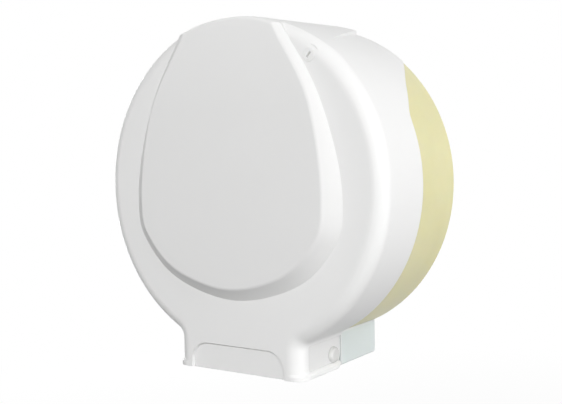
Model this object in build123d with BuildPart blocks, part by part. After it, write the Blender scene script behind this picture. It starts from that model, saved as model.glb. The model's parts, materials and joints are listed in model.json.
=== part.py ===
from build123d import *
import os
from math import atan2, cos, radians, sin, sqrt, tan

os.makedirs("parts", exist_ok=True)

# Wall dispenser for a jumbo toilet roll, in millimetres.
# +X is right, +Y goes into the wall and +Z is up.
# The origin is where the axis of the round drum meets the wall, and the front is at -Y.

# Drum and cover
drum_r = 140.0  # outside of the round drum
drum_depth = 127.0  # wall to the flat ring on the front
cover_wall = 2.6
front_edge_r = 12.0  # rounding between drum side and front ring
wall_gap = 0.5  # rear edge of the cover to the wall
edge_gap = 0.5  # cover to casing where their edges meet
overrun = 5.0  # how far cuts run past a face
quarter_turn = 90.0  # degrees

# Neck under the drum
neck_half = 62.2
neck_drop = 14.0  # its bottom below the drum
neck_blend_r = 8.0  # inward curve between drum and neck
skirt_flare = 2.6  # how far the bottom rim stands out
skirt_height = 3.0
skirt_slope = 2.0

# Egg-shaped panel on the front
panel_rise = 10.2
panel_widest = -12.0  # height where it is widest
panel_side_ring = 35.5  # drum's outside to the panel's foot, at the side
panel_side_slope = 13.2  # foot to face, at the side
panel_low_ring = 46.5  # drum's outside to the panel's foot, at the bottom
panel_low_slope = 10.5  # foot to face, at the bottom
panel_shoulder_drop = 17.4  # where it meets the top of the drum, below the drum's top
panel_edge_r = 3.0
panel_face_height = -50.0  # height where its domed face stands out furthest
panel_face_lean = 7.8  # how far back the face is at the top
# Half width and height going up, as shares of the widest half and of the way to the shoulder
panel_foot_shares = [(0.914, 0.386), (0.765, 0.691), (0.519, 1.0), (0.362, 1.204)]
panel_crest_shares = [(0.923, 0.386), (0.770, 0.691), (0.40, 1.0), (0.14, 1.204)]
# Half width and height going down, as shares of the widest half and of the way to the bottom
panel_lower_shares = [(0.930, 0.405), (0.737, 0.690), (0.364, 0.925)]

# Curved roof that the panel and the hood share
roof_axis = -8.0  # height of the line that the roof turns about
roof_front_rise = 6.0  # its radius over the drum's, at the front
roof_rear_rise = 11.3  # and at the rear
roof_round_setback = 12.5  # where it starts to round over, behind the front ring
roof_round_depth = 24.0  # that rounding along the depth
roof_round_height = 9.0  # and along the height
roof_nose = 10.0  # where the roof starts to fall to the wall
roof_nose_drop = 3.3

# Hood that widens over the top, from the wall forwards
hood_front_half = 85.0
hood_rear_half = 50.0
hood_setback = 15.0  # its widest place behind the front ring
hood_rear = 2.0
hood_base = 60.0  # height where its prism starts, inside the drum
hood_corner_r = 10.0

# Rear edge of the cover, seen from the side
edge_drop = 35.5  # where the edge leaves the wall, below the drum's top
edge_knee = 40.0  # height where the edge becomes upright
edge_depth = 62.5  # upright edge to the wall
# Points of the slanted edge, as shares of its depth and of its height above the knee
edge_shares = [(0.614, 0.625), (0.827, 0.416), (0.961, 0.262)]

# Finger recess in the front of the neck
scallop_side = 14.7  # to the neck's side
scallop_height = 22.3
scallop_corner_r = 15.0
scallop_depth = 2.2
scallop_draft = 30.0  # degrees

# Recess on each side of the neck
side_recess = 1.0
side_recess_height = 21.5
side_recess_setback = 14.0  # behind the front ring
side_recess_r = 2.0

# Hinge at the foot of the cover
ear_r = 12.0
pin_r = 4.0
pin_head_r = 6.75
pin_head_rise = 3.2
pin_gap = 0.3  # pin head to the ear
pin_tail = 1.6  # pin standing past its clip
bush_wall = 1.4
bush_flange_r = 7.0
bush_flange = 0.8
run_gap = 0.06  # radial clearance of running fits
seat_gap = 0.02  # radial clearance of pressed or threaded fits
clip_r = 7.0
clip_thick = 1.0

# Rear casing
casing_step = 1.0  # its outside inside the cover's
casing_wall = 2.6
casing_back = 3.0
lip_gap = 0.8  # lip to the inside of the cover
lip_overlap = 6.0  # lip behind the cover's edge
lip_low = -58.0  # the lip ends here, so the cover can swing
outlet_side = 3.7  # opening in the rim above the neck, to the neck's side
rib_thick = 1.6
rib_height = 4.0
rib_count = 8
wall_screw_r = 2.75
wall_boss_r = 8.0
wall_spacing_x = 130.0
wall_spacing_z = 130.0
rib_ring_inset = 31.0
pilot_floor = 0.6  # plastic left under a pilot hole

# Outlet housing behind the neck
housing_wall = 2.6
housing_corner_r = 3.0  # upright corners at the wall
housing_edge_r = 2.0
housing_tab_side = 10.7  # tab to the neck's side
housing_tab_rise = 36.0  # tab above the casing's foot
housing_web_height = 26.0
housing_floor = 30.0  # front of the floor, from the wall
cheek_gap = 1.2  # to the inside of the neck
cheek_wall = 3.0
cheek_r = 11.5
cheek_root = 11.0  # overlap with the housing's side

# Screws for plastic
screw_r = 1.75
screw_head_r = 3.5
screw_head = 2.2
screw_hole_gap = 0.3  # clearance holes, on the radius
housing_screw_side = 14.0  # to the tab's side
housing_screw_grip = 7.0  # from under the head
housing_screw_rise = 27.0  # above the casing's foot
housing_boss_r = 5.0

# Serrated tear bars
bar_gap = 3.28  # bars to the hinge pins
bar_height = 13.0
bar_thick = 0.8
bar_teeth = 24
bar_tooth = 3.0
bar_lift = 0.6  # tips above the neck's bottom
bar_screw_r = 1.25
bar_screw_head_r = 2.6
bar_screw_head = 1.4
bar_screw_grip = 2.6  # from under the head
bar_screw_side = 14.0  # to the bar's end
bar_screw_rise = 8.0  # above the tips
rear_bar_reach = 3.5  # tips in front of the housing's floor

# Spindle
flange_r = 38.0
flange_thick = 4.0
flange_boss_r = 15.0
flange_boss = 13.0
flange_boss_blend = 2.0
flange_screw_count = 4
flange_screw_inset = 9.0
flange_screw_grip = 6.2  # from under the head
axle_r = 6.0
axle_seat = 1.0  # flange left behind the axle
axle_tail = 2.8  # axle past its ring
ring_groove = 0.8  # depth of the retaining ring's groove
ring_thick = 1.2
ring_r = 9.5
washer_r = 11.0
washer_thick = 1.0
hub_r = 22.0
hub_wall = 2.4
hub_bore_wall = 3.0
hub_ribs = 6
hub_flange_r = 46.0
hub_flange = 2.5
hub_front_gap = 8.4  # end cap to the inside of the cover
hub_rib_gap = 0.5  # ribs to the end cap's lip
cap_rise = 9.0
cap_wall = 1.8
cap_lip = 4.0
cap_edge_r = 3.0
adaptor_r = 29.0
adaptor_wall = 2.2
adaptor_gap = 0.1
adaptor_short = 8.0  # sleeve shorter than the hub
adaptor_ribs = 8
adaptor_back_gap = 0.5  # to the hub's flange

# Lock near the top right of the front
lock_inset = 13.65  # its axis inside the drum's outside
lock_angle = 37.4  # degrees from the top
lock_sink = 0.5  # its seat in the cover, below the front ring
barrel_r = 3.6
bezel_wall = 0.9
bezel_flange_r = 5.2
bezel_flange = 0.7
bezel_length = 13.0  # behind its seat
nut_r = 7.5
nut_thick = 4.0
lock_pad_r = 8.5  # flat pad inside the cover that the nut tightens on
lock_pad = 1.5
barrel_length = 23.8
collar_r = 5.0
collar_length = 2.0
collar_gap = 0.3
key_slot_width = 1.8
key_slot_length = 5.0
key_slot_depth = 2.5
cam_thick = 2.0
cam_width = 9.0
cam_reach = 16.5
cam_screw_grip = 7.0  # from under the head
cam_gap = 0.5  # cam to strike plate
strike_thick = 1.6
strike_reach = 10.0  # plate past its post
strike_near = 8.5  # plate to the barrel's axis
strike_corner_r = 1.5
post_width = 8.0
post_inset = 7.1  # its outer side inside the lip
post_depth = 8.5
post_wall = 1.8
post_cap = 12.0  # solid end that the screws go into
strike_screw_spacing = 4.4
strike_screw_r = 1.0
strike_screw_head_r = 1.9
strike_screw_head = 1.2
strike_screw_grip = 8.0  # from under the head


# Sizes that follow from the ones above
cover_inner_r = drum_r - cover_wall
neck_bottom = drum_r + neck_drop  # below the drum axis
panel_half = drum_r - panel_side_ring
panel_crest_half = panel_half - panel_side_slope
panel_bottom = panel_low_ring - drum_r
panel_crest_bottom = panel_bottom + panel_low_slope
panel_shoulder = drum_r - panel_shoulder_drop
panel_inset_share = tan(atan2(panel_rise, panel_side_slope) / 2)
roof_front_r = drum_r + roof_front_rise
roof_rear_r = drum_r + roof_rear_rise
roof_round_start = drum_depth - roof_round_setback  # from the wall
panel_face_rise = roof_axis + roof_front_r - panel_face_height
panel_face_r = (panel_face_rise ** 2 + panel_face_lean ** 2) / (2 * panel_face_lean)
hood_front = drum_depth - hood_setback  # from the wall
edge_top = drum_r - edge_drop
casing_r = drum_r - casing_step
rib_ring_r = casing_r - rib_ring_inset
outlet_half = neck_half - outlet_side
hinge_y = edge_depth + ear_r  # from the wall
hinge_z = neck_bottom - ear_r  # below the drum axis
lip_r = cover_inner_r - lip_gap
lip_depth = hinge_y
skirt_top = neck_bottom - skirt_height - skirt_slope
scallop_half = neck_half - scallop_side
scallop_top = neck_bottom - scallop_height  # below the drum axis
side_recess_top = skirt_top - side_recess_height  # below the drum axis
side_recess_front = drum_depth - side_recess_setback  # from the wall
side_recess_rear = edge_depth - overrun
housing_front = edge_depth - edge_gap
housing_tab_half = neck_half - housing_tab_side
housing_tab_top = casing_r - housing_tab_rise  # below the drum axis
housing_web_top = neck_bottom - housing_web_height  # below the drum axis
housing_screw_x = housing_tab_half - housing_screw_side
housing_screw_z = casing_r - housing_screw_rise  # below the drum axis
housing_web = casing_back + rib_height  # from the wall
neck_inner = neck_half - cover_wall
cheek_out = neck_inner - cheek_gap
cheek_in = cheek_out - cheek_wall
ear_face = neck_half - side_recess
pin_seat = ear_face + pin_gap
clip_x = cheek_in - seat_gap - clip_thick
bar_half = clip_x - pin_tail - bar_gap
bar_screw_x = bar_half - bar_screw_side
bush_bore = pin_r + run_gap
bush_r = bush_bore + bush_wall
scallop_back = drum_depth - scallop_depth - cover_wall  # inside of the wall behind the recess
flange_face = casing_back + flange_thick
boss_face = flange_face + flange_boss
flange_screw_ring = flange_r - flange_screw_inset
hub_back = boss_face + washer_thick
hub_face = drum_depth - cover_wall - hub_front_gap - cap_rise
hub_length = hub_face - hub_back
adaptor_length = hub_length - adaptor_short
ring_back = hub_face + washer_thick
axle_end = ring_back + ring_thick + axle_tail
bezel_bore = barrel_r + run_gap
bezel_r = bezel_bore + bezel_wall
lock_radius = drum_r - lock_inset
lock_turn = radians(lock_angle)
lock_x = lock_radius * sin(lock_turn)
lock_z = lock_radius * cos(lock_turn)
lock_seat = drum_depth - lock_sink  # from the wall
lock_face = lock_seat + bezel_flange
barrel_back = lock_face - barrel_length
strike_back = barrel_back + cam_gap
strike_far = strike_near + strike_reach
post_far = strike_far + post_width
post_high = lip_r - post_inset  # from the drum axis, in front of the lip
post_low = post_high - post_depth
post_middle = (post_low + post_high) / 2
post_centre = (post_far + strike_far) / 2  # across, from the barrel's axis
post_reach = sqrt((lip_r - casing_wall / 2) ** 2 - post_centre ** 2)  # where its web meets the lip
nut_front = drum_depth - cover_wall - lock_pad

# Plane on the wall whose Y axis points from the drum's axis to the lock
lock_plane = Plane(origin=(0, 0, 0), x_dir=(cos(lock_turn), 0, -sin(lock_turn)), z_dir=(0, -1, 0))


def drum_and_neck(inset, bottom):
    """Front outline of drum and neck on the wall, inset by a wall, with the neck cut off at bottom."""
    with BuildSketch(Plane.XZ) as outline:
        Circle(drum_r - inset)
        with Locations((0, -bottom / 2)):
            Rectangle(2 * (neck_half - inset), bottom)
        fillet(outline.vertices().group_by(Axis.Y)[1], neck_blend_r + inset)
    return outline.sketch


def egg_outline(depth, half, bottom, upper_shares):
    """Egg-shaped face at a depth from the wall, 2 half wide and down to bottom."""
    up = panel_shoulder - panel_widest
    down = panel_widest - bottom
    *side, top = [(half * w, panel_widest + up * h) for w, h in upper_shares]
    under = [(half * w, panel_widest - down * h) for w, h in panel_lower_shares]
    leaving = (top[0] - side[-1][0], top[1] - side[-1][1])
    widest = (half, panel_widest)
    with BuildSketch(Plane.XZ.offset(depth)) as egg:
        with BuildLine():
            Spline((0, bottom), *reversed(under), widest, tangents=[(1, 0), (0, 1)])
            climb = Spline(widest, *side, top, tangents=[(0, 1), leaving])
            Line(climb @ 1, (0, top[1]))
            mirror(about=Plane.YZ)
        make_face()
    return egg.sketch


def above_roof(inset):
    """Everything above the curved roof, for a form that is inset by a wall."""
    front_r = roof_front_r - inset
    rear_r = roof_rear_r - inset
    round_depth = roof_round_depth - inset
    round_height = roof_round_height - inset
    with BuildPart() as roof:
        with BuildSketch(Plane.YZ):
            with BuildLine():
                crown = EllipticalCenterArc(
                    (-roof_round_start, roof_axis + front_r - round_height),
                    round_depth, round_height, start_angle=quarter_turn, arc_size=quarter_turn)
                slope = Line(crown @ 0, (-roof_nose, roof_axis + rear_r))
                fall = ThreePointArc(
                    slope @ 1,
                    (-roof_nose * 0.3, roof_axis + rear_r - roof_nose_drop * 0.42),
                    (0, roof_axis + rear_r - roof_nose_drop))
                Polyline(fall @ 1, (0, roof_axis), (-roof_round_start - round_depth, roof_axis), crown @ 1)
            make_face()
        revolve(axis=Axis((0, 0, roof_axis), (0, 1, 0)))
    with BuildPart() as above:
        with BuildSketch(Plane.XZ.offset(-overrun)):
            with Locations((0, hood_base + drum_r)):
                Rectangle(3 * drum_r, 2 * drum_r)
        extrude(amount=drum_depth + panel_rise + 2 * overrun)
        add(roof.part, mode=Mode.SUBTRACT)
    return above.part


def cover_form(inset, bottom):
    """Solid form of the cover's outside, or of its inside when it is inset by the wall."""
    depth = drum_depth - inset
    grown = panel_inset_share * inset
    front = depth + panel_rise
    foot = egg_outline(depth, panel_half - grown, panel_bottom + grown, panel_foot_shares)
    crest = egg_outline(front, panel_crest_half - grown, panel_crest_bottom + grown, panel_crest_shares)
    hood = [
        (inset - hood_front_half, -hood_front),
        (inset - hood_rear_half, -hood_rear - inset),
        (hood_rear_half - inset, -hood_rear - inset),
        (hood_front_half - inset, -hood_front)]
    with BuildPart() as form:
        extrude(drum_and_neck(inset, bottom), amount=depth)
        rim = form.faces().sort_by(Axis.Y)[0].edges().sort_by(Axis.Z)[1:]
        fillet(rim, front_edge_r - inset)
        loft(sections=[foot, crest])
        with BuildSketch(Plane.YZ):
            with Locations((panel_face_r - front, panel_face_height)):
                Circle(panel_face_r)
        extrude(amount=2 * drum_r, both=True, mode=Mode.INTERSECT)
        extrude(foot, amount=-front_edge_r)
        with BuildSketch(Plane.XY.offset(hood_base)) as plan:
            Polygon(*hood, align=None)
            fillet(plan.vertices().group_by(Axis.Y)[-1], hood_corner_r)
        extrude(amount=drum_r)
        add(above_roof(inset), mode=Mode.SUBTRACT)
    return form.part


def behind_edge(shift):
    """Everything behind the cover's rear edge, moved back by shift."""
    rise = edge_top - edge_knee
    slant = [(shift - edge_depth * d, edge_knee + rise * h) for d, h in edge_shares]
    start = (shift - wall_gap, edge_top)
    knee = (shift - edge_depth, edge_knee)
    leaving = (slant[0][0] - start[0], slant[0][1] - start[1])
    with BuildPart() as behind:
        with BuildSketch(Plane.YZ):
            with BuildLine():
                curve = Spline(start, *slant, knee, tangents=[leaving, (0, -1)])
                Polyline(
                    curve @ 1,
                    (shift - edge_depth, -2 * drum_r),
                    (2 * drum_r, -2 * drum_r),
                    (2 * drum_r, 2 * drum_r),
                    (shift - wall_gap, 2 * drum_r),
                    curve @ 0)
            make_face()
        extrude(amount=2 * drum_r, both=True)
    return behind.part


def skirt():
    """Rim that stands out around the neck's foot, from the wall to the front, filled in."""
    rims = []
    for height, half in (
            (neck_bottom, neck_half + skirt_flare),
            (neck_bottom - skirt_height, neck_half + skirt_flare),
            (skirt_top, neck_half)):
        with BuildSketch(Plane.XY.offset(-height)) as rim:
            with Locations((0, -drum_depth / 2)):
                Rectangle(2 * half, drum_depth)
            fillet(rim.vertices().group_by(Axis.Y)[0], front_edge_r)
        rims.append(rim.sketch)
    with BuildPart() as filled:
        extrude(rims[0], amount=skirt_height)
        loft(sections=rims[1:])
    return filled.part


def pan_screw(radius, grip, head_r, head):
    """Pan-head screw with its seat on the XY plane and its shank below."""
    with BuildPart() as screw:
        with BuildSketch(Plane.XY):
            Circle(head_r)
        extrude(amount=head)
        fillet(screw.edges().group_by(Axis.Z)[-1], head * 0.45)
        with BuildSketch(Plane.XY):
            Circle(radius)
        extrude(amount=-grip)
        chamfer(screw.edges().group_by(Axis.Z)[0], radius * 0.4)
        with BuildSketch(Plane.XY.offset(head)):
            Rectangle(head_r * 1.1, head_r * 0.24)
            Rectangle(head_r * 0.24, head_r * 1.1)
        extrude(amount=-head * 0.5, mode=Mode.SUBTRACT)
    return screw.part


def facing(direction, *points):
    """Planes at points whose Z axis has the given direction."""
    return [Plane(origin=point, x_dir=(1, 0, 0), z_dir=direction) for point in points]


def finish(builder, name):
    """Name a finished piece and write it."""
    builder.part.label = name
    export_step(builder.part, f"parts/{name}.step")


INTO_WALL = (0, 1, 0)
OUT_OF_WALL = (0, -1, 0)
UPWARDS = (0, 0, 1)


# Front cover: drum, egg-shaped panel, hood and neck in one thin moulding
with BuildPart() as front_cover:
    add(cover_form(0, neck_bottom))
    fillet(front_cover.faces().sort_by(Axis.Y)[0].edges(), panel_edge_r)
    add(skirt())
    add(cover_form(cover_wall, neck_bottom + overrun), mode=Mode.SUBTRACT)
    add(behind_edge(0), mode=Mode.SUBTRACT)
    # Wall behind the finger recess, then the recess itself
    with BuildSketch(Plane.XZ.offset(scallop_back)):
        with Locations((0, -(neck_bottom + scallop_top - cover_wall) / 2)):
            Rectangle(2 * (scallop_half + cover_wall), scallop_height + cover_wall)
    extrude(amount=scallop_depth)
    floor_inset = scallop_depth * tan(radians(scallop_draft))
    with BuildSketch(Plane.XZ.offset(drum_depth - scallop_depth)) as scallop:
        with Locations((0, -(scallop_top + floor_inset + neck_bottom + overrun) / 2)):
            Rectangle(2 * (scallop_half - floor_inset), scallop_height + overrun - floor_inset)
        fillet(scallop.vertices().group_by(Axis.Y)[-1], scallop_corner_r)
    extrude(amount=scallop_depth + overrun, taper=-scallop_draft, mode=Mode.SUBTRACT)
    # Recess on both sides, rounded lower rear corners and holes for the hinge bushes
    for side in (1, -1):
        with BuildSketch(Plane.YZ.offset(side * ear_face)) as panel:
            with Locations((
                    -(side_recess_front + side_recess_rear) / 2,
                    -(side_recess_top + skirt_top) / 2)):
                Rectangle(side_recess_front - side_recess_rear, side_recess_height)
            fillet(panel.vertices().group_by(Axis.X)[0], side_recess_r)
        extrude(amount=side * overrun, mode=Mode.SUBTRACT)
    with BuildSketch(Plane.YZ):
        with Locations((-hinge_y + ear_r, -hinge_z - ear_r)):
            Rectangle(2 * ear_r, 2 * ear_r)
        with Locations((-hinge_y, -hinge_z)):
            Circle(ear_r, mode=Mode.SUBTRACT)
    extrude(amount=drum_r, both=True, mode=Mode.SUBTRACT)
    with BuildSketch(Plane.YZ):
        with Locations((-hinge_y, -hinge_z)):
            Circle(bush_r + seat_gap)
    extrude(amount=drum_r, both=True, mode=Mode.SUBTRACT)
    # Pad and hole for the lock, and pilot holes for the tear bar
    with BuildSketch(Plane.XZ.offset(nut_front)):
        with Locations((lock_x, lock_z)):
            Circle(lock_pad_r)
    extrude(amount=lock_pad + cover_wall / 2)
    with BuildSketch(Plane.XZ):
        with Locations((lock_x, lock_z)):
            Circle(bezel_r + seat_gap)
    extrude(amount=2 * drum_depth, mode=Mode.SUBTRACT)
    with BuildSketch(Plane.XZ.offset(lock_seat)):
        with Locations((lock_x, lock_z)):
            Circle(bezel_flange_r + run_gap)
    extrude(amount=overrun, mode=Mode.SUBTRACT)
    with BuildSketch(Plane.XZ.offset(scallop_back)):
        for x in (-bar_screw_x, 0, bar_screw_x):
            with Locations((x, bar_lift + bar_screw_rise - neck_bottom)):
                Circle(bar_screw_r + seat_gap)
    extrude(amount=cover_wall - pilot_floor, mode=Mode.SUBTRACT)
finish(front_cover, "front_cover")


# Rear casing: back, rim, and the lip that the cover closes over
with BuildPart() as rear_casing:
    with BuildSketch(Plane.XZ):
        Circle(casing_r)
    extrude(amount=edge_depth)
    with BuildSketch(Plane.XZ.offset(casing_back)):
        Circle(casing_r - casing_wall)
    extrude(amount=edge_depth, mode=Mode.SUBTRACT)
    with BuildSketch(Plane.XZ.offset(casing_back)):
        Circle(casing_r)
        Circle(lip_r - casing_wall, mode=Mode.SUBTRACT)
    collar = extrude(amount=edge_depth - casing_back, mode=Mode.PRIVATE)
    add(collar - behind_edge(lip_overlap))
    add(behind_edge(edge_gap), mode=Mode.INTERSECT)
    with BuildSketch(Plane.XZ):
        Circle(lip_r)
    extrude(amount=casing_back)
    with BuildSketch(Plane.XZ):
        Circle(lip_r)
        Circle(lip_r - casing_wall, mode=Mode.SUBTRACT)
        with Locations((0, lip_low - drum_r)):
            Rectangle(2 * drum_r, 2 * drum_r, mode=Mode.SUBTRACT)
    lip = extrude(amount=lip_depth, mode=Mode.PRIVATE)
    add(lip - behind_edge(lip_overlap))
    # Opening in the rim above the neck
    with BuildSketch(Plane.XZ.offset(casing_back)):
        with Locations((0, -drum_r)):
            Rectangle(2 * outlet_half, drum_r)
    extrude(amount=drum_depth, mode=Mode.SUBTRACT)
    # Ribs and bosses on the back
    with BuildSketch(Plane.XZ.offset(casing_back)):
        Circle(rib_ring_r + rib_thick / 2)
        Circle(rib_ring_r - rib_thick / 2, mode=Mode.SUBTRACT)
        with PolarLocations((rib_ring_r + flange_r + rib_thick) / 2, rib_count, start_angle=180 / rib_count):
            Rectangle(rib_ring_r - flange_r - rib_thick, rib_thick)
        with GridLocations(wall_spacing_x, wall_spacing_z, 2, 2):
            Circle(wall_boss_r)
        for x in (-housing_screw_x, housing_screw_x):
            with Locations((x, -housing_screw_z)):
                Circle(housing_boss_r)
    extrude(amount=rib_height)
    # Hollow post that carries the lock's strike plate
    with BuildSketch(lock_plane):
        with Locations((-post_centre, post_middle)):
            Rectangle(post_width, post_high - post_low)
    extrude(amount=strike_back)
    with BuildSketch(lock_plane):
        with Locations((-post_centre, (post_high - post_wall + post_reach) / 2)):
            Rectangle(post_wall, post_reach - post_high + post_wall)
    extrude(amount=lip_depth)
    with BuildSketch(lock_plane):
        with Locations((-post_centre, post_middle)):
            Rectangle(post_width - 2 * post_wall, post_high - post_low - 2 * post_wall)
    extrude(amount=strike_back - post_cap, mode=Mode.SUBTRACT)
    # Holes: wall screws, housing screws, spindle screws and strike screws
    with BuildSketch(Plane.XZ):
        with GridLocations(wall_spacing_x, wall_spacing_z, 2, 2):
            Circle(wall_screw_r)
    extrude(amount=edge_depth, mode=Mode.SUBTRACT)
    with BuildSketch(Plane.XZ.offset(pilot_floor)):
        for x in (-housing_screw_x, housing_screw_x):
            with Locations((x, -housing_screw_z)):
                Circle(screw_r + seat_gap)
        with PolarLocations(flange_screw_ring, flange_screw_count, start_angle=180 / flange_screw_count):
            Circle(screw_r + seat_gap)
    extrude(amount=edge_depth, mode=Mode.SUBTRACT)
    with BuildSketch(lock_plane.offset(strike_back)):
        for v in (-strike_screw_spacing / 2, strike_screw_spacing / 2):
            with Locations((-post_centre, post_middle + v)):
                Circle(strike_screw_r + seat_gap)
    extrude(amount=strike_thick - strike_screw_grip, mode=Mode.SUBTRACT)
finish(rear_casing, "rear_casing")


# Outlet housing: the clear box behind the neck, with the cheeks that hold the hinge pins
with BuildPart() as cheek:
    with BuildSketch(Plane.YZ.offset(cheek_in)):
        with Locations((-hinge_y, -hinge_z)):
            Circle(cheek_r)
        with Locations((-(hinge_y + housing_front - cheek_root) / 2, -hinge_z)):
            Rectangle(hinge_y - housing_front + cheek_root, 2 * cheek_r)
    extrude(amount=cheek_wall)
    with BuildSketch(Plane.YZ.offset(cheek_in)):
        with Locations((-housing_front + cheek_root / 2, -hinge_z)):
            Rectangle(cheek_root, 2 * cheek_r)
    extrude(amount=neck_inner + housing_wall / 2 - cheek_in)
    with BuildSketch(Plane.YZ.offset(cheek_in)):
        with Locations((-hinge_y, -hinge_z)):
            Circle(pin_r + seat_gap)
    extrude(amount=cheek_wall, mode=Mode.SUBTRACT)

with BuildPart() as outlet_housing:
    with BuildSketch(Plane.XY.offset(-neck_bottom)) as plan:
        with Locations((0, -housing_front / 2)):
            Rectangle(2 * neck_half, housing_front)
        fillet(plan.vertices().group_by(Axis.Y)[-1], housing_corner_r)
    extrude(amount=neck_bottom - housing_tab_top)
    fillet(outlet_housing.edges().group_by(Axis.Z)[0].sort_by(Axis.Y)[1:], housing_edge_r)
    with BuildSketch(Plane.XZ):
        Circle(casing_r + seat_gap)
    extrude(amount=drum_depth, both=True, mode=Mode.SUBTRACT)
    with BuildSketch(Plane.XZ):
        with Locations((0, -drum_r)):
            Rectangle(2 * neck_inner, drum_r)
    extrude(amount=drum_depth, both=True, mode=Mode.SUBTRACT)
    # Rear web with its tab, and the floor
    with BuildSketch(Plane.XZ.offset(housing_web)):
        with Locations((0, -(neck_bottom + housing_web_top) / 2)):
            Rectangle(2 * neck_inner, housing_web_height)
        with Locations((0, -(neck_bottom + housing_tab_top) / 2)):
            Rectangle(2 * housing_tab_half, neck_bottom - housing_tab_top)
    extrude(amount=housing_wall)
    with BuildSketch(Plane.XZ.offset(housing_web)):
        with Locations((0, -neck_bottom + housing_wall / 2)):
            Rectangle(2 * neck_inner, housing_wall)
    extrude(amount=housing_floor - housing_web)
    add(cheek.part)
    mirror(cheek.part, about=Plane.YZ)
    # Holes for its screws and pilot holes for the rear tear bar
    with BuildSketch(Plane.XZ.offset(housing_web)):
        for x in (-housing_screw_x, housing_screw_x):
            with Locations((x, -housing_screw_z)):
                Circle(screw_r + screw_hole_gap)
    extrude(amount=housing_wall, mode=Mode.SUBTRACT)
    with BuildSketch(Plane.XY.offset(housing_wall - neck_bottom)):
        for x in (-bar_screw_x, 0, bar_screw_x):
            with Locations((x, bar_screw_rise - housing_floor - rear_bar_reach)):
                Circle(bar_screw_r + seat_gap)
    extrude(amount=pilot_floor - housing_wall, mode=Mode.SUBTRACT)
finish(outlet_housing, "outlet_housing")


# Screws that hold the housing to the casing
with BuildPart() as outlet_housing_screws:
    with Locations(*facing(
            OUT_OF_WALL,
            (-housing_screw_x, -housing_web - housing_wall, -housing_screw_z),
            (housing_screw_x, -housing_web - housing_wall, -housing_screw_z))):
        add(pan_screw(screw_r, housing_screw_grip, screw_head_r, screw_head))
finish(outlet_housing_screws, "outlet_housing_screws")


def tear_bar(plane, thickness):
    """Serrated strip on a plane, with its tips on the plane's X axis."""
    pitch = 2 * bar_half / bar_teeth
    points = [(-bar_half, bar_height), (-bar_half, bar_tooth)]
    for tooth in range(bar_teeth):
        points.append((-bar_half + (tooth + 0.5) * pitch, 0))
        points.append((-bar_half + (tooth + 1) * pitch, bar_tooth))
    points.append((bar_half, bar_height))
    with BuildPart() as bar:
        with BuildSketch(plane):
            Polygon(*points, align=None)
            for x in (-bar_screw_x, 0, bar_screw_x):
                with Locations((x, bar_screw_rise)):
                    Circle(bar_screw_r + screw_hole_gap, mode=Mode.SUBTRACT)
        extrude(amount=thickness)
    return bar.part


# Tear bar on the inside of the cover's front, with its screws
with BuildPart() as tear_bar_front:
    add(tear_bar(Plane(
        origin=(0, -scallop_back, bar_lift - neck_bottom), x_dir=(1, 0, 0), z_dir=OUT_OF_WALL), -bar_thick))
finish(tear_bar_front, "tear_bar_front")

with BuildPart() as tear_bar_front_screws:
    with Locations(*facing(INTO_WALL, *[
            (x, bar_thick - scallop_back, bar_lift + bar_screw_rise - neck_bottom)
            for x in (-bar_screw_x, 0, bar_screw_x)])):
        add(pan_screw(bar_screw_r, bar_screw_grip, bar_screw_head_r, bar_screw_head))
finish(tear_bar_front_screws, "tear_bar_front_screws")

# Tear bar on the housing's floor, with its screws
with BuildPart() as tear_bar_rear:
    add(tear_bar(Plane(
        origin=(0, -housing_floor - rear_bar_reach, housing_wall - neck_bottom),
        x_dir=(1, 0, 0), z_dir=UPWARDS), bar_thick))
finish(tear_bar_rear, "tear_bar_rear")

with BuildPart() as tear_bar_rear_screws:
    with Locations(*facing(UPWARDS, *[
            (x, bar_screw_rise - housing_floor - rear_bar_reach, housing_wall + bar_thick - neck_bottom)
            for x in (-bar_screw_x, 0, bar_screw_x)])):
        add(pan_screw(bar_screw_r, bar_screw_grip, bar_screw_head_r, bar_screw_head))
finish(tear_bar_rear_screws, "tear_bar_rear_screws")


# Hinge pins with domed heads, their push-on clips, and the bushes in the cover's ears
with BuildPart() as hinge_pin_right:
    with BuildSketch(Plane.YZ.offset(pin_seat)):
        with Locations((-hinge_y, -hinge_z)):
            Circle(pin_head_r)
    extrude(amount=pin_head_rise)
    fillet(hinge_pin_right.edges().group_by(Axis.X)[-1], pin_head_rise * 0.85)
    with BuildSketch(Plane.YZ.offset(pin_seat)):
        with Locations((-hinge_y, -hinge_z)):
            Circle(pin_r)
    extrude(amount=clip_x - pin_tail - pin_seat)
    chamfer(hinge_pin_right.edges().group_by(Axis.X)[0], pin_r * 0.15)
finish(hinge_pin_right, "hinge_pin_right")

with BuildPart() as hinge_pin_left:
    mirror(hinge_pin_right.part, about=Plane.YZ)
finish(hinge_pin_left, "hinge_pin_left")

with BuildPart() as hinge_pin_clips:
    with BuildSketch(Plane.YZ.offset(clip_x)):
        with Locations((-hinge_y, -hinge_z)):
            Circle(clip_r)
            Circle(pin_r + seat_gap, mode=Mode.SUBTRACT)
    extrude(amount=clip_thick)
    mirror(about=Plane.YZ)
finish(hinge_pin_clips, "hinge_pin_clips")

with BuildPart() as hinge_bush_right:
    with BuildSketch(Plane.YZ.offset(neck_inner)):
        with Locations((-hinge_y, -hinge_z)):
            Circle(bush_r)
    extrude(amount=ear_face - neck_inner)
    with BuildSketch(Plane.YZ.offset(neck_inner)):
        with Locations((-hinge_y, -hinge_z)):
            Circle(bush_flange_r)
    extrude(amount=-bush_flange)
    with BuildSketch(Plane.YZ.offset(neck_inner)):
        with Locations((-hinge_y, -hinge_z)):
            Circle(bush_bore)
    extrude(amount=neck_half, both=True, mode=Mode.SUBTRACT)
finish(hinge_bush_right, "hinge_bush_right")

with BuildPart() as hinge_bush_left:
    mirror(hinge_bush_right.part, about=Plane.YZ)
finish(hinge_bush_left, "hinge_bush_left")


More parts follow.
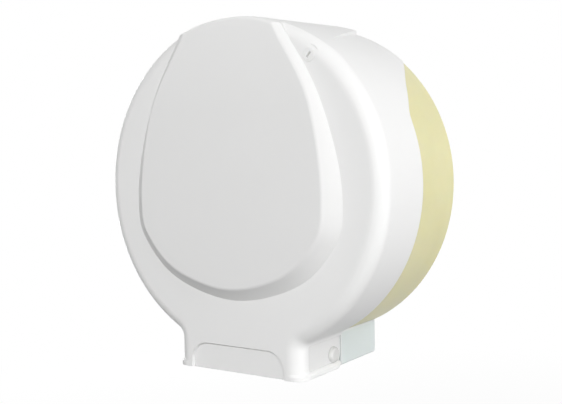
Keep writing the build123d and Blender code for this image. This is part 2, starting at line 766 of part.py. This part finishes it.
# Spindle: flange, fixed axle, turning hub with its end cap, and the sleeve for wide cores
with BuildPart() as spindle_flange:
    with BuildSketch(Plane.XZ.offset(casing_back)):
        Circle(flange_r)
    extrude(amount=flange_thick)
    with BuildSketch(Plane.XZ.offset(flange_face)):
        Circle(flange_boss_r)
    extrude(amount=flange_boss)
    inner_edge = spindle_flange.edges().filter_by(GeomType.CIRCLE).filter_by_position(
        Axis.Y, -flange_face, -flange_face).sort_by(SortBy.RADIUS)[0]
    fillet(inner_edge, flange_boss_blend)
    with BuildSketch(Plane.XZ.offset(casing_back + axle_seat)):
        Circle(axle_r + seat_gap)
    extrude(amount=drum_depth, mode=Mode.SUBTRACT)
    with BuildSketch(Plane.XZ):
        with PolarLocations(flange_screw_ring, flange_screw_count, start_angle=180 / flange_screw_count):
            Circle(screw_r + screw_hole_gap)
    extrude(amount=drum_depth, mode=Mode.SUBTRACT)
finish(spindle_flange, "spindle_flange")

with BuildPart() as spindle_flange_screws:
    turn = 180 / flange_screw_count
    with Locations(*facing(OUT_OF_WALL, *[
            (flange_screw_ring * cos(radians(turn * (2 * i + 1))), -flange_face,
             flange_screw_ring * sin(radians(turn * (2 * i + 1))))
            for i in range(flange_screw_count)])):
        add(pan_screw(screw_r, flange_screw_grip, screw_head_r, screw_head))
finish(spindle_flange_screws, "spindle_flange_screws")

with BuildPart() as spindle_axle:
    with BuildSketch(Plane.XZ.offset(casing_back + axle_seat)):
        Circle(axle_r)
    extrude(amount=axle_end - casing_back - axle_seat)
    chamfer(spindle_axle.edges().group_by(Axis.Y)[0], ring_groove)
    with BuildSketch(Plane.XZ.offset(ring_back)):
        Circle(axle_r)
        Circle(axle_r - ring_groove, mode=Mode.SUBTRACT)
    extrude(amount=ring_thick, mode=Mode.SUBTRACT)
finish(spindle_axle, "spindle_axle")

with BuildPart() as axle_retaining_ring:
    with BuildSketch(Plane.XZ.offset(ring_back)):
        Circle(ring_r)
        Circle(axle_r - ring_groove + seat_gap, mode=Mode.SUBTRACT)
        with Locations((0, -ring_r)):
            Rectangle(axle_r, 2 * ring_r, mode=Mode.SUBTRACT)
    extrude(amount=ring_thick)
finish(axle_retaining_ring, "axle_retaining_ring")

with BuildPart() as spindle_washers:
    for depth in (boss_face, hub_face):
        with BuildSketch(Plane.XZ.offset(depth)):
            Circle(washer_r)
            Circle(axle_r + run_gap, mode=Mode.SUBTRACT)
        extrude(amount=washer_thick)
finish(spindle_washers, "spindle_washers")

with BuildPart() as spindle_hub:
    with BuildSketch(Plane.XZ.offset(hub_back)):
        Circle(hub_flange_r)
    extrude(amount=hub_flange)
    with BuildSketch(Plane.XZ.offset(hub_back)):
        Circle(hub_r)
        Circle(hub_r - hub_wall, mode=Mode.SUBTRACT)
        Circle(axle_r + run_gap + hub_bore_wall)
    extrude(amount=hub_length)
    with BuildSketch(Plane.XZ.offset(hub_back)):
        with PolarLocations((hub_r + axle_r) / 2, hub_ribs):
            Rectangle(hub_r - axle_r - hub_wall, rib_thick)
    extrude(amount=hub_length - cap_lip - hub_rib_gap)
    with BuildSketch(Plane.XZ):
        Circle(axle_r + run_gap)
    extrude(amount=2 * drum_depth, mode=Mode.SUBTRACT)
finish(spindle_hub, "spindle_hub")

with BuildPart() as spindle_end_cap:
    with BuildSketch(Plane.XZ.offset(hub_face)):
        Circle(hub_r)
    extrude(amount=cap_rise)
    fillet(spindle_end_cap.edges().group_by(Axis.Y)[0], cap_edge_r)
    with BuildSketch(Plane.XZ.offset(hub_face - cap_lip)):
        Circle(hub_r - hub_wall - seat_gap)
    extrude(amount=cap_lip)
    with BuildSketch(Plane.XZ.offset(hub_face - cap_lip)):
        Circle(hub_r - hub_wall - seat_gap - cap_wall)
    extrude(amount=cap_lip + cap_rise - cap_wall, mode=Mode.SUBTRACT)
finish(spindle_end_cap, "spindle_end_cap")

with BuildPart() as core_adaptor:
    adaptor_back = hub_back + hub_flange + adaptor_back_gap
    inner = hub_r + adaptor_gap
    with BuildSketch(Plane.XZ.offset(adaptor_back)):
        Circle(adaptor_r)
        Circle(adaptor_r - adaptor_wall, mode=Mode.SUBTRACT)
        Circle(inner + adaptor_wall)
        with PolarLocations((adaptor_r + inner) / 2, adaptor_ribs):
            Rectangle(adaptor_r - inner - adaptor_wall, rib_thick)
        Circle(inner, mode=Mode.SUBTRACT)
    extrude(amount=adaptor_length)
    with BuildSketch(Plane.XZ.offset(adaptor_back)):
        Circle(adaptor_r)
        Circle(inner, mode=Mode.SUBTRACT)
    extrude(amount=adaptor_wall)
finish(core_adaptor, "core_adaptor")


# Lock: bezel and nut in the cover, turning barrel with its cam, strike plate on the post
with BuildPart() as lock_bezel:
    with BuildSketch(lock_plane.offset(lock_seat)):
        with Locations((0, lock_radius)):
            Circle(bezel_flange_r)
    extrude(amount=bezel_flange)
    fillet(lock_bezel.edges().group_by(Axis.Y)[0], bezel_flange * 0.6)
    with BuildSketch(lock_plane.offset(lock_seat - bezel_length)):
        with Locations((0, lock_radius)):
            Circle(bezel_r)
    extrude(amount=bezel_length)
    with BuildSketch(lock_plane):
        with Locations((0, lock_radius)):
            Circle(bezel_bore)
    extrude(amount=2 * drum_depth, mode=Mode.SUBTRACT)
finish(lock_bezel, "lock_bezel")

with BuildPart() as lock_nut:
    with BuildSketch(lock_plane.offset(nut_front - nut_thick)):
        with Locations((0, lock_radius)):
            RegularPolygon(nut_r, side_count=6)
            Circle(bezel_r + seat_gap, mode=Mode.SUBTRACT)
    extrude(amount=nut_thick)
finish(lock_nut, "lock_nut")

with BuildPart() as lock_barrel:
    with BuildSketch(lock_plane.offset(barrel_back)):
        with Locations((0, lock_radius)):
            Circle(barrel_r)
    extrude(amount=barrel_length)
    with BuildSketch(lock_plane.offset(lock_seat - bezel_length - collar_gap)):
        with Locations((0, lock_radius)):
            Circle(collar_r)
    extrude(amount=-collar_length)
    with BuildSketch(lock_plane.offset(lock_face)):
        with Locations((0, lock_radius)):
            Rectangle(key_slot_width, key_slot_length)
    extrude(amount=-key_slot_depth, mode=Mode.SUBTRACT)
    with BuildSketch(lock_plane.offset(barrel_back)):
        with Locations((0, lock_radius)):
            Circle(bar_screw_r + seat_gap)
    extrude(amount=cam_screw_grip - cam_thick, mode=Mode.SUBTRACT)
finish(lock_barrel, "lock_barrel")

with BuildPart() as lock_cam:
    with BuildSketch(lock_plane.offset(barrel_back)):
        with Locations((0, lock_radius - (cam_reach - cam_width / 2) / 2)):
            SlotOverall(cam_reach + cam_width / 2, cam_width, rotation=quarter_turn)
        with Locations((0, lock_radius)):
            Circle(bar_screw_r + screw_hole_gap, mode=Mode.SUBTRACT)
    extrude(amount=-cam_thick)
finish(lock_cam, "lock_cam")

with BuildPart() as lock_cam_screw:
    with Locations(*facing(INTO_WALL, (lock_x, cam_thick - barrel_back, lock_z))):
        add(pan_screw(bar_screw_r, cam_screw_grip, bar_screw_head_r, bar_screw_head))
finish(lock_cam_screw, "lock_cam_screw")

with BuildPart() as lock_strike:
    with BuildSketch(lock_plane.offset(strike_back)):
        with Locations((-(post_far + strike_near) / 2, post_middle)):
            RectangleRounded(post_far - strike_near, post_high - post_low, strike_corner_r)
        for v in (-strike_screw_spacing / 2, strike_screw_spacing / 2):
            with Locations((-post_centre, post_middle + v)):
                Circle(strike_screw_r + screw_hole_gap, mode=Mode.SUBTRACT)
    extrude(amount=strike_thick)
finish(lock_strike, "lock_strike")

with BuildPart() as lock_strike_screws:
    seat = lock_plane.offset(strike_back + strike_thick)
    with Locations(*facing(OUT_OF_WALL, *[
            seat.from_local_coords((-post_centre, post_middle + v, 0))
            for v in (-strike_screw_spacing / 2, strike_screw_spacing / 2)])):
        add(pan_screw(strike_screw_r, strike_screw_grip, strike_screw_head_r, strike_screw_head))
finish(lock_strike_screws, "lock_strike_screws")
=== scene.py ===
import json
import math

import bpy
from mathutils import Matrix, Vector


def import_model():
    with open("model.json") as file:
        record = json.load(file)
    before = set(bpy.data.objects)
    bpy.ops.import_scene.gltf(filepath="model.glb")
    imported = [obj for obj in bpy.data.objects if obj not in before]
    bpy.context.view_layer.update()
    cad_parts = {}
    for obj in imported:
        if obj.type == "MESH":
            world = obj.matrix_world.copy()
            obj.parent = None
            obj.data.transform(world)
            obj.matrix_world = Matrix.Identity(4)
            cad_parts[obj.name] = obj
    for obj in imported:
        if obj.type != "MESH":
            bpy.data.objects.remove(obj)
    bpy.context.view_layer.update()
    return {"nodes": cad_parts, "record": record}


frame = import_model()
NODES = frame["nodes"]

# All lengths are in metres, unless a comment says otherwise.

# Camera of the photograph, solved in the part's own frame
CAMERA_PLACE = (0.4266, -0.6761, 0.02217)
CAMERA_YAW = math.radians(34.549)
CAMERA_PITCH = math.radians(-2.9276)
CAMERA_ROLL = math.radians(-1.2721)
CAMERA_LENS = 54.515  # mm
SENSOR_WIDTH = 36.0  # mm

# Square soft boxes that face the middle: name, place, side and watts
MIDDLE = (0, -0.06, 0)
LAMPS = (
    ("key", (1.15, -1.90, 0.50), 1.4, 30),
    ("side", (2.15, -0.30, 0.45), 1.4, 3),
    ("fill", (-1.30, -1.80, 0.10), 1.4, 5),
    ("low", (0.95, 0.10, -0.36), 0.5, 4.4),
    ("rear", (-1.45, 1.15, 0.10), 0.8, 24),
)

# Dome
DOME_LEVEL = 0.46
DOME_SLANT = (0.36, 0, 0)  # added to the level in this direction, by the cosine

# Floor
FLOOR_HEIGHT = -0.42
FLOOR_SIZE = 60.0
FLOOR_BOUNCE = 0.12  # its lightness as it lights the object
FLOOR_PAPER = (0.74, 0.77)  # its lightness as it is seen, between these by its grain
FLOOR_WHITE_LEAST = 0.85  # share of plain white that is mixed in under the object
FLOOR_WHITE_START = 0.3  # up to this distance from the floor's centre
FLOOR_WHITE_FULL = 1.2  # and all of it is plain white from here on

# Noise textures: scale per metre and detail
PAPER_GRAIN = (40, 2.0)
CLOUDS = (22, 3.0)
GLOSS = (85, 3.0)
SINKS = (16, 1.0)
GRAIN = (260, 2.0)
STAINS = (160, 4.0)
LINES = (900, 3.0)

# Moulded plastics and metals
PLASTIC_GLOSS = (-0.05, 0.06)  # least and most that its unevenness adds to the roughness
METAL_GLOSS = (-0.08, 0.12)
SINK_DEPTH = 0.00025
BEVEL_SAMPLES = 6
EVEN = (1, 1, 1)  # stretch of a metal's lines with no direction
ALONG_X = (0.03, 1, 1)

# Greyer places on the white cover: a greyer panel, and shade painted into the recess on each side
# of the neck under the drum
PANEL_TONE = 0.945  # lightness of the panel against the rest of the cover
PANEL_START = -0.1285  # depth at which its tone starts
PANEL_FULL = -0.1345  # and is full
RECESS_PAINTED_SHADE = 0.85  # lightness of the shade painted into the recess on each side of the neck, under the drum's overhang
RECESS_FACE = 0.0612  # distance of its face from the middle plane
RECESS_REACH = 0.0003  # most that a point of the face lies off that distance
RECESS_TOP = -0.1265
RECESS_FRONT = -0.1131

# Painted highlight: paler strips along the edges of the frosted box, for the light seen along its
# clear walls
STRIP_REACH = 0.0035
EDGE_HIGHLIGHT_COLOUR = (0.93, 0.945, 0.945)
STRIP_START = 0.995  # cosine between face and softened normal where the strip starts
STRIP_FULL = 0.93  # and is full

# Sockets of Blender's Mix node when it mixes colours
MIX_FACTOR = 0
MIX_FIRST = 6
MIX_SECOND = 7
MIX_RESULT = 2


class Nodes:
    """Short calls for building one node tree."""

    def __init__(self, tree):
        self.tree = tree

    def add(self, kind, values=None, **settings):
        made = self.tree.nodes.new(kind)
        for name, value in settings.items():
            setattr(made, name, value)
        for name, value in (values or {}).items():
            self.put(made.inputs[name], value)
        return made

    def put(self, socket, value):
        """Set a socket, or link it where value is another node's socket."""
        if isinstance(value, bpy.types.NodeSocket):
            self.tree.links.new(value, socket)
        else:
            socket.default_value = value

    def place(self):
        """Socket of the object's own coordinates."""
        return self.add("ShaderNodeTexCoord").outputs["Object"]

    def maths(self, operation, *values):
        return self.add("ShaderNodeMath", dict(enumerate(values)), operation=operation).outputs[0]

    def vector(self, operation, output, *values):
        made = self.add("ShaderNodeVectorMath", dict(enumerate(values)), operation=operation)
        return made.outputs[output]

    def between(self, factor, low, high, start=0.0, end=1.0):
        """Value that goes from low to high as factor goes from start to end."""
        made = self.add("ShaderNodeMapRange", {
            "Value": factor, "From Min": start, "From Max": end, "To Min": low, "To Max": high})
        return made.outputs["Result"]

    def mix(self, factor, first, second):
        """Colour that goes from first to second as factor goes from 0 to 1."""
        made = self.add("ShaderNodeMix", data_type="RGBA")
        for index, value in ((MIX_FACTOR, factor), (MIX_FIRST, first), (MIX_SECOND, second)):
            self.put(made.inputs[index], (*value, 1) if isinstance(value, tuple) else value)
        return made.outputs[MIX_RESULT]

    def noise(self, scale, detail, stretch=None):
        """Noise over the object's own coordinates."""
        where = self.place()
        if stretch:
            where = self.add("ShaderNodeMapping", {"Vector": where, "Scale": stretch}).outputs[0]
        made = self.add("ShaderNodeTexNoise", {"Vector": where, "Scale": scale, "Detail": detail})
        return made.outputs["Fac"]

    def soft_edges(self, radius):
        """Normal that rounds the edges by radius."""
        made = self.add("ShaderNodeBevel", {"Radius": radius}, samples=BEVEL_SAMPLES)
        return made.outputs[0]

    def bump(self, height, distance, normal):
        values = {"Height": height, "Distance": distance, "Normal": normal}
        return self.add("ShaderNodeBump", values).outputs[0]

    def seen(self):
        """Socket that is 1 where the surface is seen, itself or in gloss or through glass."""
        path = self.add("ShaderNodeLightPath").outputs
        either = self.maths("MAXIMUM", path["Is Camera Ray"], path["Is Glossy Ray"])
        return self.maths("MAXIMUM", either, path["Is Transmission Ray"])


# Camera, lamps, world and floor

def camera():
    """Camera at the photograph's viewpoint."""
    data = bpy.data.cameras.new("camera")
    data.lens = CAMERA_LENS
    data.sensor_fit = "HORIZONTAL"
    data.sensor_width = SENSOR_WIDTH
    obj = bpy.data.objects.new("camera", data)
    bpy.context.scene.collection.objects.link(obj)
    level = math.cos(CAMERA_PITCH)
    ahead = Vector((
        -math.sin(CAMERA_YAW) * level, math.cos(CAMERA_YAW) * level, math.sin(CAMERA_PITCH)))
    right = Vector((math.cos(CAMERA_YAW), math.sin(CAMERA_YAW), 0))
    up = right.cross(ahead)
    c, s = math.cos(CAMERA_ROLL), math.sin(CAMERA_ROLL)
    turned = Matrix((right * c + up * s, up * c - right * s, -ahead)).transposed()
    obj.matrix_world = Matrix.Translation(CAMERA_PLACE) @ turned.to_4x4()
    bpy.context.scene.camera = obj


def lamp(name, place, size, power):
    """Square soft box at a place, facing the middle."""
    data = bpy.data.lights.new(name, "AREA")
    data.size = size
    data.energy = power
    obj = bpy.data.objects.new(name, data)
    bpy.context.scene.collection.objects.link(obj)
    obj.location = place
    obj.rotation_euler = (Vector(MIDDLE) - Vector(place)).to_track_quat("-Z", "Y").to_euler()


def world():
    """Dome that gives more light from the right, and is plain white where it is seen."""
    studio = bpy.data.worlds.new("studio")
    bpy.context.scene.world = studio
    studio.use_nodes = True
    studio.node_tree.nodes.clear()
    nodes = Nodes(studio.node_tree)
    way = nodes.add("ShaderNodeTexCoord").outputs["Generated"]
    light = nodes.maths("ADD", nodes.vector("DOT_PRODUCT", "Value", way, DOME_SLANT), DOME_LEVEL)
    strength = nodes.between(nodes.seen(), light, 1.0)
    shade = nodes.add("ShaderNodeBackground", {"Color": (1, 1, 1, 1), "Strength": strength})
    nodes.add("ShaderNodeOutputWorld", {"Surface": shade.outputs[0]})


def floor():
    """Plain white floor under the object, that shows a faint shadow."""
    mesh = bpy.data.meshes.new("floor")
    h = FLOOR_SIZE / 2
    mesh.from_pydata([(-h, -h, 0), (h, -h, 0), (h, h, 0), (-h, h, 0)], [], [(0, 1, 2, 3)])
    obj = bpy.data.objects.new("floor", mesh)
    bpy.context.scene.collection.objects.link(obj)
    obj.location = (0, 0, FLOOR_HEIGHT)
    paper = bpy.data.materials.new("floor_paper")
    paper.use_nodes = True
    paper.node_tree.nodes.clear()
    nodes = Nodes(paper.node_tree)
    seen = nodes.seen()
    grain = nodes.between(nodes.noise(*PAPER_GRAIN), *FLOOR_PAPER)
    matt = nodes.add("ShaderNodeBsdfDiffuse", {"Color": nodes.between(seen, FLOOR_BOUNCE, grain)})
    glow = nodes.add("ShaderNodeEmission", {"Color": (1, 1, 1, 1), "Strength": 1.0})
    away = nodes.vector("LENGTH", "Value", nodes.place())
    white = nodes.between(away, FLOOR_WHITE_LEAST, 1.0, FLOOR_WHITE_START, FLOOR_WHITE_FULL)
    share = nodes.maths("MULTIPLY", seen, white)
    mixed = nodes.add("ShaderNodeMixShader", {0: share, 1: matt.outputs[0], 2: glow.outputs[0]})
    nodes.add("ShaderNodeOutputMaterial", {"Surface": mixed.outputs[0]})
    mesh.materials.append(paper)


# Materials

def parts_of(made):
    """Node tree of a material and its Principled shader."""
    return Nodes(made.node_tree), made.node_tree.nodes["Principled BSDF"]


def shader(name, **constants):
    """Material with only a Principled shader, whose constants are set by their socket names."""
    made = bpy.data.materials.new(name)
    made.use_nodes = True
    nodes, bsdf = parts_of(made)
    for key, value in constants.items():
        bsdf.inputs[key.replace("_", " ")].default_value = value
    return made, nodes, bsdf


def moulded(name, pale, deep, rough, grain, edge=0.0004, **constants):
    """Injection-moulded plastic: slight clouding, uneven gloss, fine grain and soft edges."""
    made, nodes, bsdf = shader(name, **constants)
    least, most = PLASTIC_GLOSS
    nodes.put(bsdf.inputs["Base Color"], nodes.mix(nodes.noise(*CLOUDS), deep, pale))
    nodes.put(bsdf.inputs["Roughness"],
              nodes.between(nodes.noise(*GLOSS), rough + least, rough + most))
    sink = nodes.bump(nodes.noise(*SINKS), SINK_DEPTH, nodes.soft_edges(edge))
    nodes.put(bsdf.inputs["Normal"], nodes.bump(nodes.noise(*GRAIN), grain, sink))
    return made


def metal(name, pale, deep, rough, stretch, depth, edge=0.0002):
    """Metal with fine lines along its rolling or turning direction."""
    made, nodes, bsdf = shader(name, Metallic=1.0)
    least, most = METAL_GLOSS
    lines = nodes.noise(*LINES, stretch)
    nodes.put(bsdf.inputs["Base Color"], nodes.mix(nodes.noise(*STAINS), deep, pale))
    nodes.put(bsdf.inputs["Roughness"], nodes.between(lines, rough + least, rough + most))
    nodes.put(bsdf.inputs["Normal"], nodes.bump(lines, depth, nodes.soft_edges(edge)))
    return made


def base_colour(bsdf):
    """Socket that the base colour comes from."""
    return bsdf.inputs["Base Color"].links[0].from_socket


def scale_colour(nodes, bsdf, share):
    scaled = nodes.add("ShaderNodeVectorMath", {0: base_colour(bsdf), "Scale": share},
                       operation="SCALE")
    nodes.put(bsdf.inputs["Base Color"], scaled.outputs[0])


def grey_panel(made):
    """Slightly greyer tone on the panel, which stands out in front of the ring."""
    nodes, bsdf = parts_of(made)
    depth = nodes.add("ShaderNodeSeparateXYZ", {0: nodes.place()}).outputs["Y"]
    scale_colour(nodes, bsdf, nodes.between(depth, 1.0, PANEL_TONE, PANEL_START, PANEL_FULL))


def recess_painted_shade(made):
    """Shade painted into the recess on each side of the neck, under the drum's overhang, as a
    greyer tone.
    """
    nodes, bsdf = parts_of(made)
    x, y, z = nodes.add("ShaderNodeSeparateXYZ", {0: nodes.place()}).outputs
    level = nodes.maths("COMPARE", nodes.maths("ABSOLUTE", x), RECESS_FACE, RECESS_REACH)
    low = nodes.maths("LESS_THAN", z, RECESS_TOP)
    behind = nodes.maths("GREATER_THAN", y, RECESS_FRONT)
    inside = nodes.maths("MULTIPLY", level, nodes.maths("MULTIPLY", low, behind))
    scale_colour(nodes, bsdf, nodes.between(inside, 1.0, RECESS_PAINTED_SHADE))


def painted_edge_highlight(made):
    """Painted highlight: a paler strip along the edges of a clear moulding, where one looks along
    its wall.
    """
    nodes, bsdf = parts_of(made)
    face = nodes.add("ShaderNodeNewGeometry").outputs["Normal"]
    turn = nodes.vector("DOT_PRODUCT", "Value", face, nodes.soft_edges(STRIP_REACH))
    share = nodes.between(turn, 0.0, 1.0, STRIP_START, STRIP_FULL)
    nodes.put(bsdf.inputs["Base Color"], nodes.mix(share, base_colour(bsdf), EDGE_HIGHLIGHT_COLOUR))


def dress():
    """Give every CAD node its material."""
    white = moulded("white_abs", (0.88, 0.88, 0.875), (0.865, 0.865, 0.86),
                    rough=0.42, grain=0.000003, Specular_IOR_Level=0.2)
    grey_panel(white)
    # Painted shade in the recess on each side of the neck
    recess_painted_shade(white)
    yellow = moulded("yellow_translucent", (0.79, 0.745, 0.44), (0.70, 0.65, 0.325),
                     rough=0.34, grain=0.000004, Subsurface_Weight=0.5,
                     Subsurface_Radius=(1.0, 0.8, 0.35), Subsurface_Scale=0.006)
    frost = moulded("frosted_clear", (0.84, 0.90, 0.895), (0.81, 0.87, 0.865),
                    rough=0.45, grain=0.000004, Transmission_Weight=0.25, IOR=1.49)
    # Painted highlight along the edges of the frosted box
    painted_edge_highlight(frost)
    nylon = moulded("white_nylon", (0.72, 0.72, 0.70), (0.69, 0.69, 0.67),
                    rough=0.5, grain=0.000006)
    sleeve = moulded("grey_sleeve", (0.47, 0.50, 0.53), (0.44, 0.47, 0.50),
                     rough=0.55, grain=0.000006)
    acetal = moulded("acetal", (0.84, 0.84, 0.81), (0.81, 0.81, 0.78),
                     rough=0.38, grain=0.000005, Subsurface_Weight=0.2,
                     Subsurface_Radius=(1.0, 0.9, 0.8), Subsurface_Scale=0.001)
    # The pin's base colour is greyer than the cover's: painted shade for the shaded side of its
    # head
    pin = moulded("pin_plastic_painted_shade", (0.66, 0.66, 0.65), (0.63, 0.63, 0.62),
                  rough=0.22, grain=0.000004, edge=0.0003)
    lock = moulded("lock_plastic", (0.91, 0.91, 0.90), (0.89, 0.89, 0.88),
                   rough=0.2, grain=0.000004, edge=0.0002, Subsurface_Weight=0.4,
                   Subsurface_Radius=(1.0, 1.0, 0.95), Subsurface_Scale=0.0012)
    zinc = metal("zinc_plated", (0.68, 0.69, 0.70), (0.60, 0.61, 0.63),
                 rough=0.3, stretch=EVEN, depth=0.000004)
    stainless = metal("stainless_strip", (0.66, 0.66, 0.66), (0.60, 0.60, 0.60),
                      rough=0.32, stretch=ALONG_X, depth=0.000003)
    nickel = metal("nickel_plated", (0.72, 0.71, 0.69), (0.66, 0.65, 0.63),
                   rough=0.2, stretch=EVEN, depth=0.000003)
    finishes = {
        "front_cover": white, "rear_casing": yellow, "outlet_housing": frost, "spindle": nylon,
        "adaptor": sleeve, "steel": zinc, "tear_bar": stainless, "bush": acetal, "pin": pin,
        "lock": lock, "lock_metal": nickel}
    slots = {part["node"]: part["material_slot"] for part in frame["record"]["subparts"]}
    for name, obj in NODES.items():
        for slot in obj.material_slots:
            slot.material = finishes[slots[name]]


bpy.context.scene.view_settings.view_transform = "Standard"
camera()
world()
floor()
for entry in LAMPS:
    lamp(*entry)
dress()
